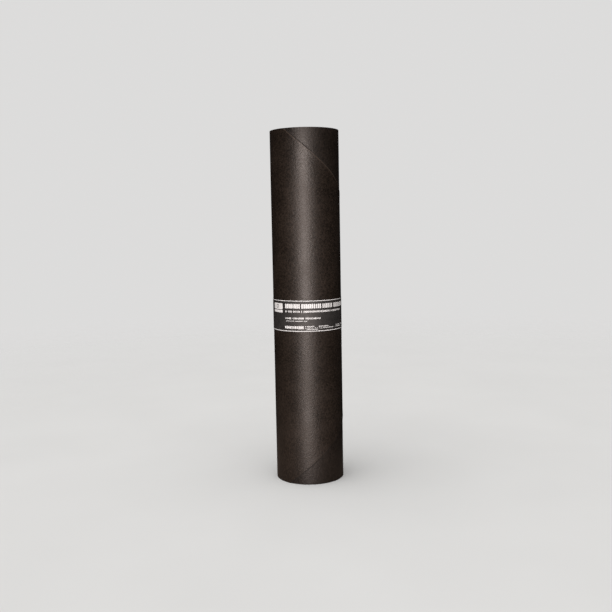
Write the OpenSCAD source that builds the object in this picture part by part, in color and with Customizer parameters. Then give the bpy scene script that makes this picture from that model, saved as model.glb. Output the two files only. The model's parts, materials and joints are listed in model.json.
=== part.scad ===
// Roll of asphalt-saturated roofing felt, standing on its end, with its paper label band.
// The origin is the middle of the lower end. +Z runs up the axis, and -Y is the front of the label.

/* [Roll] */
// Width of the felt sheet, which is the height of the standing roll
sheet_w = 914.4; // [850:0.1:1100]
// Length of the whole sheet, unrolled
sheet_l = 43890; // [30000:10:60000]
// Outside diameter of the roll
roll_d = 180; // [160:1:240]
// Diameter of the open bore down the middle
bore_d = 38; // [25:1:76]

/* [Tail] */
// Direction in which the free end of the sheet lies, in degrees about the axis
tail_angle = 14; // [-180:1:180]
// Length of each cut-off corner of the free end, measured along the sheet
corner_l = 220; // [60:5:240]
// Angle between a corner cut and the roll's end, in degrees
corner_angle = 40; // [20:1:55]

/* [Label band] */
// Width of the paper band
band_w = 81; // [30:1:150]
// Height of the band's middle above the lower end
band_z = 441; // [380:1:500]
// Thickness of the paper
band_t = 0.25; // [0.15:0.05:1]
// Slack between the felt and the paper
band_gap = 0.1; // [0.1:0.05:0.5]

/* [Hidden] */

$fn = 180;
felt_colour = "#33291f";
band_colour = "#16130f";

roll_r = roll_d / 2;
bore_r = bore_d / 2;
// One turn takes up as much of the end as its length times its thickness, rounded to 0.01 mm
felt_t = round(100 * PI * (roll_r ^ 2 - bore_r ^ 2) / sheet_l) / 100;
corner_slope = tan(corner_angle);
corner_h = corner_l * corner_slope;

overshoot = 2;       // how far a cutting shape runs past the face that it cuts
cut_stations = 28;   // straight stretches that make up one corner cut

// Half of the plane: y above 0 for side 1, and below 0 for side -1
module half_plane(side) {
    reach = roll_r + overshoot;
    translate([-reach, side > 0 ? 0 : -reach]) square([2 * reach, reach]);
}

// Outline of the wound sheet. The free end lies on +X, and the sheet runs up to it anticlockwise.
// The last half turn is a circle about the axis. The half turn before it is a slightly smaller
// circle set off the axis, so the radius drops by one thickness of felt at the free end.
module wound_outline() {
    intersection() {
        circle(r = roll_r);
        half_plane(-1);
    }
    intersection() {
        translate([-felt_t / 2, 0]) circle(r = roll_r - felt_t / 2);
        half_plane(1);
    }
}

// Lower edge of the upper corner cut, at a distance along the sheet back from the free end
function cut_height(back) = sheet_w - corner_h + back * corner_slope;

// Four corners of the cutting wedge's section at that distance
function wedge_section(back) =
    let (
        turn = -back / roll_r * 180 / PI,
        inner = roll_r - felt_t - overshoot,
        outer = roll_r + overshoot
    )
    [
        for (corner = [
            [inner, cut_height(back)],
            [outer, cut_height(back)],
            [outer, sheet_w + overshoot],
            [inner, sheet_w + overshoot]
        ])
        [corner.x * cos(turn), corner.x * sin(turn), corner.y]
    ];

// Curved wedge that takes the upper corner off the last turn, along a straight cut in the flat sheet
module corner_wedge() {
    last = cut_stations;
    run = corner_l + overshoot / 2 / corner_slope;
    points = [for (i = [0 : last]) each wedge_section(run * (last - i) / last)];
    sides = [
        for (i = [0 : last - 1], k = [0 : 3])
        let (next = (k + 1) % 4, a = 4 * i, b = a + 4)
        each [[a + k, a + next, b + next], [a + k, b + next, b + k]]
    ];
    ends = [[3, 2, 1, 0], [4 * last, 4 * last + 1, 4 * last + 2, 4 * last + 3]];
    polyhedron(points = points, faces = concat(sides, ends));
}

// What the upper corner cut takes away: the wedge, down to the turn that lies under the last one
module corner_cut() {
    difference() {
        corner_wedge();
        translate([0, 0, sheet_w / 2]) cylinder(r = roll_r - felt_t, h = sheet_w);
    }
}

module felt_roll() {
    color(felt_colour)
    rotate(tail_angle)
    difference() {
        linear_extrude(sheet_w) wound_outline();
        translate([0, 0, -overshoot]) cylinder(r = bore_r, h = sheet_w + 2 * overshoot);
        corner_cut();
        translate([0, 0, sheet_w]) mirror([0, 0, 1]) corner_cut();
    }
}

module label_band() {
    inner_r = roll_r + band_gap;
    color(band_colour)
    translate([0, 0, band_z - band_w / 2])
    difference() {
        cylinder(r = inner_r + band_t, h = band_w);
        translate([0, 0, -overshoot]) cylinder(r = inner_r, h = band_w + 2 * overshoot);
    }
}

felt_roll();
label_band();
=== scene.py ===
import json
import math

import bmesh
import bpy
from mathutils import Matrix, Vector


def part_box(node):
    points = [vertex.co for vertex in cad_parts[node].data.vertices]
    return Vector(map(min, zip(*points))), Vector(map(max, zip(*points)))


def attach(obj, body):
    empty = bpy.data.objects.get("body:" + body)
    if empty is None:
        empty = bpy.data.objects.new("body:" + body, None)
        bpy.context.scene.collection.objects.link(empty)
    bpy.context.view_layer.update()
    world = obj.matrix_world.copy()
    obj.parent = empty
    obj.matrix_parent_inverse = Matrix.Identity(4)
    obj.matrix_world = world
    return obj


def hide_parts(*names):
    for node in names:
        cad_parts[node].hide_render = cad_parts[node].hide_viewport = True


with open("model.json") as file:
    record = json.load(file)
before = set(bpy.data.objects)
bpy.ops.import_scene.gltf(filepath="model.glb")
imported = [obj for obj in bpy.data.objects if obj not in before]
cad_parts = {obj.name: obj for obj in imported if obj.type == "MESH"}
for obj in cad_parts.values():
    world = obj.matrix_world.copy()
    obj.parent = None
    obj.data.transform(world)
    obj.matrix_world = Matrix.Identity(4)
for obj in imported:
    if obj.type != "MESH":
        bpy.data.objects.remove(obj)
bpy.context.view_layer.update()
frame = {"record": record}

feltLow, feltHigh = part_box("felt_roll")
bandLow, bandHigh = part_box("label_band")
mounts = {mount["name"]: mount for mount in frame["record"]["mounts"]}
mm = 0.001
fullTurn = 2 * math.pi

rollRadius = (feltHigh.x - feltLow.x) / 2
rollTop = feltHigh.z
boreRadius = mounts["bore"]["dims"]["r_mm"] * mm
bandRadius = (bandHigh.x - bandLow.x) / 2
bandMiddle = (bandLow.z + bandHigh.z) / 2


class Wire:
    # what comes out of a node; sums with it become math nodes
    def __init__(self, tree, socket):
        self.tree = tree
        self.socket = socket

    def __add__(self, other):
        return calc("ADD", self, other)

    def __radd__(self, other):
        return calc("ADD", other, self)

    def __sub__(self, other):
        return calc("SUBTRACT", self, other)

    def __rsub__(self, other):
        return calc("SUBTRACT", other, self)

    def __mul__(self, other):
        return calc("MULTIPLY", self, other)

    def __truediv__(self, other):
        return calc("DIVIDE", self, other)

    def __rtruediv__(self, other):
        return calc("DIVIDE", other, self)

    def __pow__(self, other):
        return calc("POWER", self, other)

    def __mod__(self, other):
        return calc("MODULO", self, other)

    def __abs__(self):
        return calc("ABSOLUTE", self)

    def __gt__(self, other):
        return calc("GREATER_THAN", self, other)

    def __lt__(self, other):
        return calc("LESS_THAN", self, other)


def plug(socket, value):
    if isinstance(value, Wire):
        value.tree.links.new(value.socket, socket)
    else:
        socket.default_value = value


def addNode(tree, kind, inputs=None, **settings):
    node = tree.nodes.new(kind)
    for name, value in settings.items():
        setattr(node, name, value)
    for name, value in (inputs or {}).items():
        plug(node.inputs[name], value)
    return node


def outOf(tree, kind, inputs=None, output=0, **settings):
    # adds a node and returns what comes out of it
    return Wire(tree, addNode(tree, kind, inputs, **settings).outputs[output])


def calc(operation, *terms):
    tree = next(term.tree for term in terms if isinstance(term, Wire))
    return outOf(tree, "ShaderNodeMath", dict(enumerate(terms)), operation=operation)


def smaller(first, second):
    return calc("MINIMUM", first, second)


def larger(first, second):
    return calc("MAXIMUM", first, second)


def clamped(value):
    return smaller(larger(value, 0.0), 1.0)


def remap(value, fromLow, fromHigh, toLow, toHigh, kind="LINEAR"):
    terms = (value, fromLow, fromHigh, toLow, toHigh)
    return outOf(value.tree, "ShaderNodeMapRange", dict(enumerate(terms)), interpolation_type=kind)


def split(vector):
    node = addNode(vector.tree, "ShaderNodeSeparateXYZ", {0: vector})
    return [Wire(vector.tree, socket) for socket in node.outputs]


def combine(x, y, z):
    return outOf(x.tree, "ShaderNodeCombineXYZ", {"X": x, "Y": y, "Z": z})


def newTree(name, inputs):
    # a geometry tree with these named inputs; a default that is a word is the kind of its socket
    kinds = {float: "NodeSocketFloat", int: "NodeSocketInt"}
    tree = bpy.data.node_groups.new(name, "GeometryNodeTree")
    for label, default in inputs.items():
        kind = kinds.get(type(default)) or "NodeSocket" + default
        socket = tree.interface.new_socket(label, in_out="INPUT", socket_type=kind)
        if type(default) in kinds:
            socket.default_value = default
    tree.interface.new_socket("Geometry", in_out="OUTPUT", socket_type="NodeSocketGeometry")
    sockets = tree.nodes.new("NodeGroupInput").outputs
    return tree, {socket.name: Wire(tree, socket) for socket in sockets}


def finishTree(geometry, *coats):
    # a coat is a material and which faces wear it; a later one goes over the ones before
    tree = geometry.tree
    geometry = outOf(tree, "GeometryNodeRealizeInstances", {"Geometry": geometry})
    for material, faces in coats:
        geometry = outOf(tree, "GeometryNodeSetMaterial", {
            "Geometry": geometry, "Selection": faces, "Material": material})
    plug(tree.nodes.new("NodeGroupOutput").inputs[0], geometry)


def moved(geometry, place):
    return outOf(geometry.tree, "GeometryNodeSetPosition", {"Geometry": geometry, "Position": place})


def position(tree):
    return split(outOf(tree, "GeometryNodeInputPosition"))


def plainMesh(obj):
    # the object's mesh with its modifiers worked out; the object itself is thrown away
    seen = obj.evaluated_get(bpy.context.evaluated_depsgraph_get())
    mesh = bpy.data.meshes.new_from_object(seen)
    bpy.data.objects.remove(obj)
    # the slots that no face wears are dropped
    worn = sorted({face.material_index for face in mesh.polygons})
    materials = [mesh.materials[index] for index in worn]
    slots = [worn.index(face.material_index) for face in mesh.polygons]
    mesh.materials.clear()
    for material in materials:
        mesh.materials.append(material)
    mesh.polygons.foreach_set("material_index", slots)
    return mesh


def grow(tree, values):
    # runs a geometry tree with these values for its named inputs, and returns the plain mesh
    obj = bpy.data.objects.new(tree.name, bpy.data.meshes.new(tree.name))
    bpy.context.scene.collection.objects.link(obj)
    modifier = obj.modifiers.new(tree.name, "NODES")
    modifier.node_group = tree
    for item in tree.interface.items_tree:
        if item.name in values:
            modifier[item.identifier] = values[item.name]
    return plainMesh(obj)


def thicken(mesh, thickness, rim=0):
    # gives a sheet its thickness behind its face; rim is how many slots further its edges' material is
    obj = bpy.data.objects.new("sheet", mesh)
    bpy.context.scene.collection.objects.link(obj)
    solid = obj.modifiers.new("thickness", "SOLIDIFY")
    solid.thickness = thickness
    solid.offset = -1
    solid.use_even_offset = True
    solid.material_offset_rim = rim
    return plainMesh(obj)


def tidyFaces(mesh, sharpAbove=40):
    # faces outwards, and smooth but for corners sharper than this many degrees
    work = bmesh.new()
    work.from_mesh(mesh)
    bmesh.ops.recalc_face_normals(work, faces=work.faces)
    for face in work.faces:
        face.smooth = True
    work.to_mesh(mesh)
    work.free()
    mesh.set_sharp_from_angle(angle=math.radians(sharpAbove))


def joined(meshes):
    # several meshes of the same material as one
    work = bmesh.new()
    for mesh in meshes:
        work.from_mesh(mesh)
    whole = bpy.data.meshes.new("joined")
    for material in meshes[0].materials:
        whole.materials.append(material)
    work.to_mesh(whole)
    work.free()
    return whole


litPieces = bpy.data.collections.new("pieces that the softboxes light")


def addPiece(name, mesh, replaced=None):
    mesh.name = name
    piece = bpy.data.objects.new(name, mesh)
    bpy.context.scene.collection.objects.link(piece)
    litPieces.objects.link(piece)
    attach(piece, "root")
    if replaced:
        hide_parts(replaced)
    triangles = sum(len(face.vertices) - 2 for face in mesh.polygons)
    print(name, triangles, "triangles")
    return piece


def newMaterial(name):
    material = bpy.data.materials.new(name)
    material.use_nodes = True
    tree = material.node_tree
    place = outOf(tree, "ShaderNodeTexCoord", output="Object")
    return material, tree.nodes["Principled BSDF"].inputs, place


def noiseAt(place, scale, detail=2.0, roughness=0.5, distortion=0.0):
    return outOf(place.tree, "ShaderNodeTexNoise", {
        "Vector": place, "Scale": scale, "Detail": detail,
        "Roughness": roughness, "Distortion": distortion}, "Fac")


def stretched(place, factor):
    # patterns at this place come out as strands that run round the roll
    return outOf(place.tree, "ShaderNodeMapping", {"Vector": place, "Scale": (1, 1, factor)})


def blend(amount, first, second):
    return outOf(amount.tree, "ShaderNodeMix", {0: amount, 6: first, 7: second}, 2, data_type="RGBA")


def mark(tree, name):
    # a number that the mesh carries on its points
    return outOf(tree, "ShaderNodeAttribute", output="Fac", attribute_name=name)


def emboss(shader, height, depth, strength=1.0):
    plug(shader["Normal"], outOf(height.tree, "ShaderNodeBump", {
        "Strength": strength, "Distance": depth, "Height": height}))


feltLook = {
    "dark": (0.0035, 0.0023, 0.0015, 1),
    "light": (0.0175, 0.0113, 0.0076, 1),
    "fibre": (0.052, 0.036, 0.026, 1),
    "gloss": (0.43, 0.56),         # roughness of the tarry and of the dry spots
    "sheen": (1.0, 0.93, 0.88, 1),
    "clouds": 14,                  # how fine the slow changes of tone are
    "pebbles": 200,                # how fine the grain is
    "strands": 170,
    "specks": 410,
    "grainDepth": 0.75 * mm,
    "underPaintedShade": 0.64,             # painted shade: the turn under the last one is darker, as a share of the last one's tone
    "underRough": 0.03,            # how much rougher it is
    "frayAndHighlight": 1.45 * mm,           # width of the paler strip along the free end's edges: frayed fibres, and a painted highlight
    "straggle": 1.5 * mm,          # how unevenly they end
    "paintedShadowLine": 3.4 * mm,           # width of the painted shadow line beside them on the turn below
}


def feltFace():
    material, shader, place = newMaterial("asphalt felt")
    tree = place.tree
    look = feltLook
    clouds = noiseAt(place, look["clouds"], 3.0, 0.55)
    pebbles = noiseAt(place, look["pebbles"], 2.0, 0.55)
    strands = noiseAt(stretched(place, 3.5), look["strands"], 4.0, 0.65, 0.6)
    mottle = pebbles * 0.6 + strands * 0.4
    tone = remap(mottle, 0.36, 0.64, 0.0, 0.9) + remap(clouds, 0.3, 0.7, -0.2, 0.2)
    colour = blend(clamped(tone), look["dark"], look["light"])
    specks = remap(noiseAt(stretched(place, 2.6), look["specks"], 1.5, 0.5, 1.2), 0.66, 0.74, 0.0, 0.6)
    # paler fibres along the cut edges of the last turn: real fray, and a painted highlight where those
    # edges catch the light, so stronger in the roll's upper half
    inside = mark(tree, "inside end") - strands * look["straggle"]
    outside = mark(tree, "outside end")
    under = mark(tree, "under")
    frayAndHighlight = remap(inside, -0.4 * mm, look["frayAndHighlight"], 0.75, 0.0)
    upper = remap(split(place)[2], 0.3, 0.5, 0.1, 1.0)
    frayAndHighlight = frayAndHighlight * ((outside > 0.05) * upper)
    colour = blend(larger(specks, frayAndHighlight), colour, look["fibre"])
    # painted shade: the turn below is darker, and a painted shadow line lies beside those edges
    paintedShadowLine = remap(outside, 0.0, look["paintedShadowLine"], 0.95, 0.0) * (under > 0.5)
    shade = remap(under, 0.0, 1.0, 1.0, look["underPaintedShade"]) * (1.0 - paintedShadowLine)
    plug(shader["Base Color"],
         outOf(tree, "ShaderNodeVectorMath", {0: colour, "Scale": shade}, operation="SCALE"))
    rough = remap(clouds * 0.5 + mottle * 0.5, 0.36, 0.64, *look["gloss"])
    plug(shader["Roughness"], rough + (under * look["underRough"] + paintedShadowLine * 0.45))
    plug(shader["Specular Tint"], look["sheen"])
    relief = pebbles * 0.75 + strands * 0.2 + noiseAt(place, 800, 2.0) * 0.12
    emboss(shader, relief, look["grainDepth"])
    return material


edgeLook = {
    "dark": (0.016, 0.0105, 0.0075, 1),
    "light": (0.062, 0.043, 0.031, 1),
    "gloss": (0.72, 0.92),
    "fibres": 900,
    "patches": 60,
}


def feltEdge():
    # the raw cut edge, which shows the felt's dry brown fibres
    material, shader, place = newMaterial("felt cut edge")
    look = edgeLook
    fibres = noiseAt(place, look["fibres"], 3.0, 0.7)
    patches = noiseAt(place, look["patches"], 2.0, 0.5)
    tone = remap(fibres, 0.35, 0.65, 0.0, 0.7) + remap(patches, 0.3, 0.7, -0.15, 0.3)
    plug(shader["Base Color"], blend(clamped(tone), look["dark"], look["light"]))
    plug(shader["Roughness"], remap(fibres, 0.3, 0.7, *look["gloss"]))
    emboss(shader, fibres, 0.2 * mm, 0.8)
    return material


paperLook = {
    "dark": (0.0065, 0.0065, 0.0066, 1),
    "light": (0.0120, 0.0116, 0.0115, 1),
    "gloss": (0.60, 0.72),
    "shine": 0.95,                 # strength of its gloss; plain paper has 0.5
    "sheen": (1.0, 0.94, 0.90, 1),
}


def labelPaper():
    # black ink all over the paper, a little uneven
    material, shader, place = newMaterial("black label paper")
    look = paperLook
    uneven = noiseAt(place, 90, 4.0, 0.6)
    plug(shader["Base Color"], blend(remap(uneven, 0.3, 0.7, 0.0, 1.0), look["dark"], look["light"]))
    plug(shader["Roughness"], remap(uneven, 0.3, 0.7, *look["gloss"]))
    plug(shader["Specular IOR Level"], look["shine"])
    plug(shader["Specular Tint"], look["sheen"])
    emboss(shader, noiseAt(place, 1300, 3.0, 0.6), 0.05 * mm, 0.35)
    return material


inkLook = {
    "thin": (0.54, 0.53, 0.52, 1),
    "full": (0.66, 0.65, 0.64, 1),
    "gloss": (0.5, 0.62),
}


def whiteInk():
    material, shader, place = newMaterial("white label ink")
    look = inkLook
    patches = noiseAt(place, 260, 3.0, 0.6)
    plug(shader["Base Color"], blend(remap(patches, 0.3, 0.7, 0.0, 1.0), look["thin"], look["full"]))
    plug(shader["Roughness"], remap(patches, 0.3, 0.7, *look["gloss"]))
    return material


felt = feltFace()
cutEdge = feltEdge()
paper = labelPaper()
ink = whiteInk()
print("materials made")


def wind(geometry, given):
    # bends flat geometry round the roll: x runs along the sheet from its free end, y outwards, z up
    x, y, z = position(geometry.tree)
    angle = x / given["Radius"]
    radius = given["Radius"] - angle / fullTurn * given["Pitch"] + y
    turn = given["Free End"] - angle
    return moved(geometry, combine(radius * calc("COSINE", turn), radius * calc("SINE", turn), z))


def windSheetTree():
    # a flat sheet with both corners of its free end cut off, wound into turns
    tree, given = newTree("wind sheet", {
        "Radius": 0.09, "Pitch": 0.00055, "Free End": 0.0, "Length": 0.8, "Steps": 300,
        "Low": 0.0, "High": 0.9, "Rows": 60, "Corner": 0.0, "Slope": 0.8,
        "Lift": 0.0, "Lift Width": 0.015, "Held At": 0.4, "Held Width": 0.05,
        "Swell": 0.0, "Swell Size": 0.09, "Wander": 0.0, "Seed": 0, "Material": "Material"})
    grid = outOf(tree, "GeometryNodeMeshGrid", {
        "Size X": given["Length"], "Size Y": 1.0,
        "Vertices X": given["Steps"] + 1, "Vertices Y": given["Rows"] + 1})
    sheet = outOf(tree, "GeometryNodeFlipFaces", {"Mesh": grid})
    x, y = position(tree)[:2]
    along = x + given["Length"] / 2
    across = y + 0.5
    # rows crowd towards both edges
    across = across * 0.3 + (1.0 - calc("COSINE", across * math.pi)) * 0.35

    def cutAt(back):
        # how much a corner cut takes off the width, this far back from the free end
        return (given["Corner"] - back) * given["Slope"]

    # the edges wander a little, and the corner cuts bring them together towards the free end
    wander = given["Wander"] * outOf(tree, "ShaderNodeTexNoise", {
        "W": along * 6.0 + given["Seed"], "Scale": 1.0, "Detail": 3.0}, "Fac", noise_dimensions="1D")
    low = larger(given["Low"] + wander, given["Low"] + cutAt(along))
    high = smaller(given["High"] - wander, given["High"] - cutAt(along))
    z = low + across * (high - low)

    def insideEnd(back):
        # how far inside the free end's edges a spot lies that is this far back from the end
        fromTop = given["High"] - cutAt(back) - z
        fromBottom = z - (given["Low"] + cutAt(back))
        steep = calc("SQRT", given["Slope"] ** 2.0 + 1.0)
        return smaller(smaller(fromTop, fromBottom) / steep, back)

    # the free end's edges stand up a little, but not under the band
    inside = insideEnd(along)
    free = remap(inside, 0.0, given["Lift Width"], 1.0, 0.0, "SMOOTHSTEP")
    fromBand = abs(z - given["Held At"])
    held = remap(fromBand, given["Held Width"], given["Held Width"] * 3.0, 0.0, 1.0, "SMOOTHSTEP")
    lift = free * held * given["Lift"]
    # slow swells, the same at each turn over one spot
    around = along / given["Radius"]
    spot = combine(calc("COSINE", around) * given["Radius"], calc("SINE", around) * given["Radius"],
                   z * 0.6 + given["Seed"])
    swell = given["Swell"] * remap(noiseAt(spot, 1.0 / given["Swell Size"], 1.5), 0.25, 0.75, -1.0, 0.0)
    # marks for the material: the turn under the last one, and where a spot lies beside the free end
    lastTurn = given["Radius"] * fullTurn
    marks = {"under": remap(around / fullTurn, 0.97, 1.0, 0.0, 1.0), "inside end": inside,
             "outside end": insideEnd(along - lastTurn) * -1.0}
    for name, value in marks.items():
        sheet = outOf(tree, "GeometryNodeStoreNamedAttribute", {
            "Geometry": sheet, "Name": name, "Value": value}, data_type="FLOAT", domain="POINT")
    sheet = moved(sheet, combine(along, lift + swell, z))
    finishTree(wind(sheet, given), (given["Material"], True))
    return tree


windSheet = windSheetTree()

outerTurns = {
    "pitch": 0.55 * mm,        # what one turn adds to the radius
    "thickness": 0.50 * mm,
    "turns": 1.5,
    "freeEnd": 14,             # degrees about the axis, from +X
    "corner": 220 * mm,        # length of each cut-off corner
    "cornerAngle": 40,
    "steps": 200,              # per turn
    "rows": 110,
    "lift": 0.35 * mm,
    "liftWidth": 14 * mm,
    "swell": 0.22 * mm,
    "swellSize": 110 * mm,
    "wander": 0.35 * mm,       # how unevenly the long edges are cut
    "seed": 3,
}
wholeTurns = round((rollRadius - boreRadius) / outerTurns["pitch"])
pitch = (rollRadius - boreRadius) / wholeTurns


def makeOuterTurns():
    spec = outerTurns
    mesh = grow(windSheet, {
        "Radius": rollRadius, "Pitch": pitch, "Free End": math.radians(spec["freeEnd"]),
        "Length": spec["turns"] * fullTurn * rollRadius, "Steps": round(spec["turns"] * spec["steps"]),
        "Low": 0.0, "High": rollTop, "Rows": spec["rows"],
        "Corner": spec["corner"], "Slope": math.tan(math.radians(spec["cornerAngle"])),
        "Lift": spec["lift"], "Lift Width": spec["liftWidth"],
        "Held At": bandMiddle, "Held Width": bandHigh.z - bandMiddle,
        "Swell": spec["swell"], "Swell Size": spec["swellSize"],
        "Wander": spec["wander"], "Seed": spec["seed"], "Material": felt})
    mesh.materials.append(cutEdge)
    solid = thicken(mesh, spec["thickness"], rim=1)
    tidyFaces(solid)
    addPiece("felt_outer_turns", solid, "felt_roll")


innerTurns = {
    "steps": 96,               # per turn
    "clearance": 0.30 * mm,    # between them and the outer turns
    "groove": 0.07 * mm,       # half the gap between two turns' edges
    "depth": 2.2 * mm,         # how far down a groove goes
    "wander": 1.3 * mm,        # how far a turn's upper edge may sit below the end
    "seed": 11,
}


def noted(geometry, domain, *values):
    # the geometry with these values kept on it, and each value as it can be read later on
    node = addNode(geometry.tree, "GeometryNodeCaptureAttribute", domain=domain)
    for number in range(len(values)):
        node.capture_items.new("FLOAT", "value %d" % number)
    for socket, value in zip(node.inputs, (geometry, *values)):
        plug(socket, value)
    return [Wire(geometry.tree, socket) for socket in node.outputs[:len(values) + 1]]


def windTurnsTree():
    # all the turns inside as one solid, whose ends show every turn
    tree, given = newTree("wind turns", {
        "Bore": 0.019, "Pitch": 0.00055, "Turns": 120.0, "Steps": 96, "End Angle": 0.0,
        "Low": 0.0, "High": 0.9, "Groove": 0.0001, "Depth": 0.002, "Wander": 0.001, "Seed": 0,
        "Material": "Material", "Edge Material": "Material"})
    index = outOf(tree, "GeometryNodeInputIndex")
    last = given["Turns"] * given["Steps"]
    line = outOf(tree, "GeometryNodeCurvePrimitiveLine")
    path = outOf(tree, "GeometryNodeResampleCurve", {"Curve": line, "Count": last + 1})
    ring = outOf(tree, "GeometryNodeCurvePrimitiveCircle", {"Resolution": 8, "Radius": 0.1})
    path, station = noted(path, "POINT", index)
    ring, corner = noted(ring, "POINT", index)
    tube = outOf(tree, "GeometryNodeCurveToMesh", {
        "Curve": path, "Profile Curve": ring, "Fill Caps": True})
    # the eight corners of one turn's section, from the groove inside it round by the top to the bottom
    upper = corner < 3.5
    outside = (corner > 1.5) * (corner < 5.5)
    beside = abs(corner % 4.0 - 1.5) < 1.0
    grooved = 1.0 - beside
    turn = station / given["Steps"]

    def noiseAlong(speed, shift):
        return outOf(tree, "ShaderNodeTexNoise", {
            "W": turn * speed + given["Seed"] + shift, "Scale": 1.0, "Detail": 1.0},
            "Fac", noise_dimensions="1D")

    # the turns' edges sit a little below the end, and the gaps between them vary
    slow = remap(noiseAlong(0.11, 0.0), 0.3, 0.7, 0.0, 0.6)
    quick = remap(noiseAlong(1.7, 40.0), 0.25, 0.75, 0.0, 0.4)
    sunk = beside * ((slow + quick) * given["Wander"])
    loose = remap(noiseAlong(0.83, 80.0), 0.35, 0.75, 0.5, 2.2) * given["Groove"]
    inwards = beside * loose * (1.0 - outside * 2.0)
    radius = given["Bore"] + given["Pitch"] * (turn + outside) + inwards
    grooveDepth = grooved * given["Depth"]
    top = given["High"] - (sunk + grooveDepth)
    bottom = given["Low"] + (sunk * 0.3 + grooveDepth)
    z = upper * top + (1.0 - upper) * bottom
    angle = given["End Angle"] - (given["Turns"] - turn) * fullTurn
    turns = moved(tube, combine(radius * calc("COSINE", angle), radius * calc("SINE", angle), z))
    # what the turns hide between them is left out, and they are welded into one solid
    turns, grooved, outside = noted(turns, "POINT", grooved, outside)
    turns, wallFace, outsideFace, stationFace = noted(turns, "FACE", grooved, outside, station)
    isWall = wallFace > 0.9
    hiddenOutside = (outsideFace > 0.5) * (stationFace < last - given["Steps"])
    hiddenInside = (outsideFace < 0.5) * (stationFace > given["Steps"])
    hidden = isWall * larger(hiddenOutside, hiddenInside)
    turns = outOf(tree, "GeometryNodeDeleteGeometry", {
        "Geometry": turns, "Selection": hidden}, domain="FACE")
    turns = outOf(tree, "GeometryNodeMergeByDistance", {"Geometry": turns, "Distance": 0.01 * mm})
    finishTree(turns, (given["Material"], True), (given["Edge Material"], 1.0 - isWall))
    return tree


def makeInnerTurns():
    spec = innerTurns
    outerEdge = rollRadius - outerTurns["turns"] * pitch - spec["clearance"]
    turns = wholeTurns - outerTurns["turns"]
    innerPitch = (outerEdge - boreRadius) / turns
    mesh = grow(windTurnsTree(), {
        "Bore": boreRadius, "Pitch": innerPitch, "Turns": turns - 1, "Steps": spec["steps"],
        "End Angle": math.radians(outerTurns["freeEnd"] - 360 * outerTurns["turns"]),
        "Low": 0.0, "High": rollTop, "Groove": spec["groove"], "Depth": spec["depth"],
        "Wander": spec["wander"], "Seed": spec["seed"], "Material": felt, "Edge Material": cutEdge})
    tidyFaces(mesh, 30)
    addPiece("felt_inner_turns", mesh, "felt_roll")


band = {
    "thickness": 0.11 * mm,
    "pitch": 0.12 * mm,        # what one turn adds to the radius
    "lap": 24 * mm,            # how far the glued end covers the other
    "freeEnd": 76,             # degrees about the axis, from +X, so at the back
    "steps": 220,
    "rows": 12,
    "wander": 0.25 * mm,
    "seed": 7,
    "ink": 0.03 * mm,
    "margin": (0.2 * mm, 1.0 * mm),     # unprinted strip along the glued end, from and to
    "marginInset": 1.2 * mm,            # how far it stops short of the band's edges
}
# border lines: height of the middle above the band's lower edge, and width
borderLines = ((79.1 * mm, 1.5 * mm), (1.8 * mm, 1.7 * mm))
# how each kind of print is broken into plain blocks: their width and the gap between them in mm,
# the share left out, and by how much a block may be narrower or lower than its place
printKinds = {
    "title": {"block": 4.4, "gap": 0.7, "missing": 0.0, "uneven": 0.3, "ragged": 0.0},
    "subtitle": {"block": 2.4, "gap": 0.6, "missing": 0.12, "uneven": 0.4, "ragged": 0.0},
    "note": {"block": 2.4, "gap": 0.7, "missing": 0.12, "uneven": 0.4, "ragged": 0.4},
    "small note": {"block": 1.6, "gap": 0.6, "missing": 0.14, "uneven": 0.4, "ragged": 0.4},
    "sign-off": {"block": 4.2, "gap": 0.6, "missing": 0.0, "uneven": 0.3, "ragged": 0.3},
    "small print": {"block": 1.6, "gap": 0.5, "missing": 0.10, "uneven": 0.4, "ragged": 0.3},
}
# rows of print: kind, degrees to the right of the front (from, to), and mm above the band's lower edge
printRows = (
    ("title", (-39.0, -12.0), (60.2, 71.5)),
    ("title", (-10.0, 23.0), (60.2, 71.5)),
    ("title", (25.0, 45.0), (60.2, 71.5)),
    ("title", (48.0, 80.0), (60.2, 71.5)),
    ("subtitle", (-39.0, 70.0), (49.8, 54.4)),
    ("note", (-39.0, 21.6), (32.2, 37.2)),
    ("small note", (-39.0, -1.0), (26.2, 29.0)),
    ("sign-off", (-40.0, -6.5), (7.0, 15.5)),
    ("small print", (-4.0, 10.5), (12.6, 15.4)),
    ("small print", (-4.0, 16.5), (8.8, 11.4)),
    ("small print", (-2.0, 16.5), (5.2, 7.6)),
    ("small print", (18.6, 36.0), (12.2, 15.2)),
    ("small print", (18.6, 47.0), (8.2, 10.8)),
    ("small print", (51.7, 77.5), (12.2, 15.0)),
    ("small print", (51.7, 70.0), (8.2, 10.8)),
)
# the plain sign at the left: a plate with rounded corners and a ring cut out of it, over a bar
sign = {
    "arc": (-70.5, -44.9),
    "plate": (56.4, 72.2),              # height above the band's lower edge, in mm
    "bar": (48.2, 54.6),
    "corner": 3.4 * mm,
    "ring": (3.2 * mm, 5.0 * mm),       # radius of the ring's inside and outside
    "cell": 0.5 * mm,                   # size of the mesh's faces
}


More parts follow.
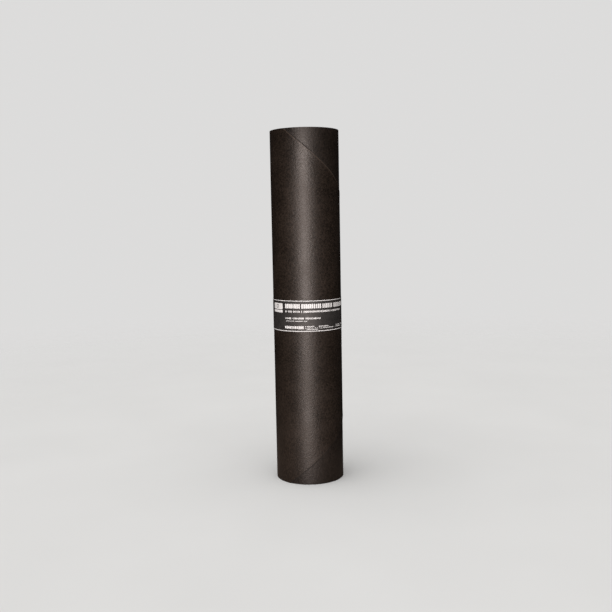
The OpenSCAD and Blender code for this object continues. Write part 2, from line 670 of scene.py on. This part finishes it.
def windPrintTree():
    # a row of plain ink blocks, wound round the band
    tree, given = newTree("wind print", {
        "Radius": 0.09, "Pitch": 0.0001, "Free End": 0.0, "From": 0.0, "To": 0.1,
        "Low": 0.0, "High": 0.01, "Block": 0.005, "Gap": 0.001, "Missing": 0.0,
        "Uneven": 0.0, "Ragged": 0.0, "Ink": 0.00003, "Seed": 0, "Material": "Material"})
    room = given["To"] - given["From"] + given["Gap"]
    count = larger(calc("ROUND", room / (given["Block"] + given["Gap"])), 1.0)
    stride = room / count
    width = stride - given["Gap"]
    spots = outOf(tree, "GeometryNodeMeshLine", {
        "Count": count, "Offset": combine(stride, 0.0, 0.0),
        "Start Location": combine(given["From"] + width / 2.0, 0.0, (given["Low"] + given["High"]) / 2.0)})
    # long blocks get more faces, so that they bend with the band
    block = outOf(tree, "GeometryNodeMeshCube", {
        "Size": (1, 1, 1), "Vertices X": calc("ROUND", width / (1.6 * mm)) + 2})

    def chance(lowest, shift):
        # a random number from this one to 1, another for each block
        return outOf(tree, "FunctionNodeRandomValue", {
            2: lowest, 3: 1.0, "Seed": given["Seed"] + shift}, 1, data_type="FLOAT")

    size = combine(width * chance(1.0 - given["Uneven"], 50), given["Ink"],
                   (given["High"] - given["Low"]) * chance(1.0 - given["Ragged"], 90))
    blocks = outOf(tree, "GeometryNodeInstanceOnPoints", {
        "Points": spots, "Selection": chance(0.0, 0) > given["Missing"],
        "Instance": block, "Scale": size})
    blocks = outOf(tree, "GeometryNodeRealizeInstances", {"Geometry": blocks})
    finishTree(wind(blocks, given), (given["Material"], True))
    return tree


def windSignTree():
    # a fine sheet with rounded corners and, if wanted, a ring cut out of it, wound round the band
    tree, given = newTree("wind sign", {
        "Radius": 0.09, "Pitch": 0.0001, "Free End": 0.0, "From": 0.0, "To": 0.1,
        "Low": 0.0, "High": 0.01, "Corner": 0.003, "Ring Inside": 0.0, "Ring Outside": 0.0,
        "Cell": 0.0005, "Material": "Material"})
    wide = given["To"] - given["From"]
    tall = given["High"] - given["Low"]
    sheet = outOf(tree, "GeometryNodeMeshGrid", {
        "Size X": wide, "Size Y": tall,
        "Vertices X": calc("ROUND", wide / given["Cell"]) + 1,
        "Vertices Y": calc("ROUND", tall / given["Cell"]) + 1})
    x, y = position(tree)[:2]
    # how far a spot is past the straight part of each side, and from the middle
    pastX = larger(abs(x) - (wide / 2.0 - given["Corner"]), 0.0)
    pastY = larger(abs(y) - (tall / 2.0 - given["Corner"]), 0.0)
    pastBoth = calc("SQRT", pastX ** 2.0 + pastY ** 2.0)
    out = calc("SQRT", x ** 2.0 + y ** 2.0)
    offCorner = pastBoth > given["Corner"]
    inRing = (out > given["Ring Inside"]) * (out < given["Ring Outside"])
    sheet = outOf(tree, "GeometryNodeDeleteGeometry", {
        "Geometry": sheet, "Selection": larger(offCorner, inRing)}, domain="FACE")
    sheet = outOf(tree, "GeometryNodeFlipFaces", {"Mesh": sheet})
    # the corners of the cells nearest to a round edge are moved onto it
    reach = given["Cell"] * 0.7
    stretch = 1.0
    for edge in (given["Ring Inside"], given["Ring Outside"]):
        stretch = stretch + (abs(out - edge) < reach) * (edge / out - 1.0)
    atCorner = (abs(pastBoth - given["Corner"]) < reach) * (pastX * pastY > 0.0)
    push = atCorner * (given["Corner"] / pastBoth - 1.0)
    across = x * stretch + calc("SIGN", x) * (pastX * push)
    up = y * stretch + calc("SIGN", y) * (pastY * push)
    middle = (given["From"] + given["To"]) / 2.0
    height = (given["Low"] + given["High"]) / 2.0
    sheet = moved(sheet, combine(across + middle, 0.0, up + height))
    finishTree(wind(sheet, given), (given["Material"], True))
    return tree


def makeBand():
    spec = band
    freeEnd = math.radians(spec["freeEnd"])
    length = fullTurn * bandRadius + spec["lap"]
    winding = {"Radius": bandRadius, "Pitch": spec["pitch"], "Free End": freeEnd}
    mesh = grow(windSheet, winding | {
        "Length": length, "Steps": spec["steps"], "Low": bandLow.z, "High": bandHigh.z,
        "Rows": spec["rows"], "Wander": spec["wander"], "Seed": spec["seed"], "Material": paper})
    solid = thicken(mesh, spec["thickness"])
    tidyFaces(solid)
    addPiece("label_band_paper", solid, "label_band")

    def placed(arc, heights):
        # these degrees and mm as lengths along the band and heights in the roll
        ends = [(freeEnd - math.radians(angle - 90)) * bandRadius for angle in arc]
        low, high = heights
        return {"From": min(ends), "To": max(ends), "Low": bandLow.z + low * mm,
                "High": bandLow.z + high * mm}

    # a sheet of ink gets its thickness behind its face, so the face starts just above the paper
    sheetWinding = winding | {"Radius": bandRadius + spec["ink"] / 3, "Material": ink}
    marks = []
    for middle, width in borderLines:
        line = grow(windSheet, sheetWinding | {
            "Length": length - 1 * mm, "Steps": spec["steps"], "Low": bandLow.z + middle - width / 2,
            "High": bandLow.z + middle + width / 2, "Rows": 2, "Seed": spec["seed"]})
        marks.append(thicken(line, spec["ink"]))
    windSign = windSignTree()
    for part, ring in (("plate", sign["ring"]), ("bar", (0.0, 0.0))):
        low, high = sign[part]
        shape = grow(windSign, sheetWinding | placed(sign["arc"], sign[part]) | {
            "Corner": min(sign["corner"], (high - low) * mm / 3), "Ring Inside": ring[0],
            "Ring Outside": ring[1], "Cell": sign["cell"]})
        marks.append(thicken(shape, spec["ink"]))
    windPrint = windPrintTree()
    blockWinding = winding | {"Ink": spec["ink"], "Material": ink}
    marks.append(grow(windPrint, blockWinding | {
        "From": spec["margin"][0], "To": spec["margin"][1], "Block": spec["margin"][1],
        "Low": bandLow.z + spec["marginInset"], "High": bandHigh.z - spec["marginInset"]}))
    for number, (kind, arc, heights) in enumerate(printRows):
        row = printKinds[kind]
        marks.append(grow(windPrint, blockWinding | placed(arc, heights) | {
            "Block": row["block"] * mm, "Gap": row["gap"] * mm, "Missing": row["missing"],
            "Uneven": row["uneven"], "Ragged": row["ragged"], "Seed": number}))
    printed = joined(marks)
    tidyFaces(printed)
    addPiece("label_print", printed)


makeOuterTurns()
makeInnerTurns()
makeBand()
print("pieces made")

camera = {
    "side": -3.4 * mm,
    "distance": 2056.7 * mm,
    "height": 667.7 * mm,
    "down": 5.82,              # degrees
    "lean": -1.083,
    "lens": 45.81,
    "sensor": 36,
}


def addObject(name, data):
    obj = bpy.data.objects.new(name, data)
    bpy.context.scene.collection.objects.link(obj)
    return obj


def addCamera():
    data = bpy.data.cameras.new("camera")
    data.lens = camera["lens"]
    data.sensor_width = camera["sensor"]
    obj = addObject("camera", data)
    aim = Matrix.Rotation(math.radians(90 - camera["down"]), 4, "X")
    lean = Matrix.Rotation(math.radians(camera["lean"]), 4, "Z")
    spot = Matrix.Translation((camera["side"], -camera["distance"], camera["height"]))
    obj.matrix_world = spot @ aim @ lean
    bpy.context.scene.camera = obj


floorLook = {
    "radius": 6,
    "fades": (1.0, 4.0),            # distance at which it starts to fade into the backdrop, and is gone
    "pale": ((0.62, 0.615, 0.605, 1), (0.66, 0.655, 0.645, 1)),
    "mirrored": (0.64, 0.48, 0.39, 1),      # its colour as the felt mirrors it
    "glowAt": (-0.3, -0.35, 0),             # only this part of it is mirrored
    "glowFades": (0.4, 1.0),
    "glow": 0.36,
}


def addFloor():
    # a wide disc that fades into the backdrop
    look = floorLook
    work = bmesh.new()
    bmesh.ops.create_circle(work, cap_ends=True, segments=96, radius=look["radius"])
    mesh = bpy.data.meshes.new("floor")
    work.to_mesh(mesh)
    work.free()
    floor = addObject("floor", mesh)
    floor.location.z = -0.2 * mm
    material, shader, place = newMaterial("pale floor")
    tree = place.tree
    mirrored = outOf(tree, "ShaderNodeLightPath", output="Is Glossy Ray")
    pale = blend(noiseAt(place, 3, 2.0), *look["pale"])
    plug(shader["Base Color"], blend(mirrored, pale, look["mirrored"]))
    plug(shader["Roughness"], 0.8)
    reach = outOf(tree, "ShaderNodeVectorMath", {0: place}, "Value", operation="LENGTH")
    seen = remap(reach, *look["fades"], 1.0, 0.0, "SMOOTHSTEP")
    away = outOf(tree, "ShaderNodeVectorMath", {0: place, 1: look["glowAt"]}, "Value", operation="DISTANCE")
    glow = remap(away, *look["glowFades"], look["glow"], 0.0, "SMOOTHSTEP")
    plug(shader["Alpha"], outOf(tree, "ShaderNodeMix", {0: mirrored, 2: seen, 3: glow}, data_type="FLOAT"))
    mesh.materials.append(material)


ceiling = {"energy": 3.7, "softness": 70, "tilt": (8, -6, 0)}      # softness and tilt in degrees


def addCeiling():
    # an even light from above, for the floor and the roll's upper end
    data = bpy.data.lights.new("ceiling", "SUN")
    data.energy = ceiling["energy"]
    data.angle = math.radians(ceiling["softness"])
    obj = addObject("ceiling", data)
    obj.rotation_euler = [math.radians(angle) for angle in ceiling["tilt"]]
    obj.visible_glossy = False


# direction in degrees about the axis, 0 towards the front and positive to the right
softboxes = {
    "key softbox": {
        "direction": -5, "elevation": 0, "distance": 1.5, "size": (0.18, 0.95),
        "energy": 5.9, "aimHeight": 0.69, "tint": (1, 0.92, 0.90), "spread": 80},
    "low softbox": {
        "direction": -5, "elevation": 0, "distance": 0.5, "size": (0.06, 0.12),
        "energy": 0.2, "aimHeight": 0.08, "tint": (1, 0.92, 0.90), "spread": 90},
    "back softbox": {
        "direction": 181, "elevation": 32, "distance": 2.4, "size": (0.3, 1.0),
        "energy": 15, "aimHeight": 0.5, "tint": (1, 0.94, 0.92), "spread": 80},
    "overhead softbox": {
        "direction": 20, "elevation": 80, "distance": 2.0, "size": (0.5, 0.5),
        "energy": 2, "aimHeight": 0.9, "tint": (1, 0.95, 0.92), "spread": 60},
}


def addSoftbox(name, spec):
    # lights the pieces and spares the floor
    data = bpy.data.lights.new(name, "AREA")
    data.spread = math.radians(spec["spread"])
    data.shape = "RECTANGLE"
    data.size, data.size_y = spec["size"]
    data.energy = spec["energy"]
    data.color = spec["tint"]
    obj = addObject(name, data)
    obj.visible_camera = False
    obj.light_linking.receiver_collection = litPieces
    aim = Matrix.Translation((0, 0, spec["aimHeight"]))
    turn = Matrix.Rotation(math.radians(spec["direction"]), 4, "Z")
    tip = Matrix.Rotation(math.radians(90 - spec["elevation"]), 4, "X")
    obj.matrix_world = aim @ turn @ tip @ Matrix.Translation((0, 0, spec["distance"]))


backdrop = {
    "seen": {"Color": (0.72, 0.715, 0.71, 1), "Strength": 1.0},
    "fill": {"Color": (1.0, 0.86, 0.78, 1), "Strength": 0.015},
}


def addBackdrop():
    # pale to look at, dimmer as a light
    world = bpy.data.worlds.new("backdrop")
    bpy.context.scene.world = world
    world.use_nodes = True
    tree = world.node_tree
    tree.nodes.clear()
    seen = outOf(tree, "ShaderNodeBackground", backdrop["seen"])
    fill = outOf(tree, "ShaderNodeBackground", backdrop["fill"])
    looked = outOf(tree, "ShaderNodeLightPath", output="Is Camera Ray")
    mix = outOf(tree, "ShaderNodeMixShader", {0: looked, 1: fill, 2: seen})
    addNode(tree, "ShaderNodeOutputWorld", {"Surface": mix})


addCamera()
addFloor()
addBackdrop()
for name, spec in softboxes.items():
    addSoftbox(name, spec)
addCeiling()
bpy.context.scene.view_settings.view_transform = "Standard"
print("stage set")
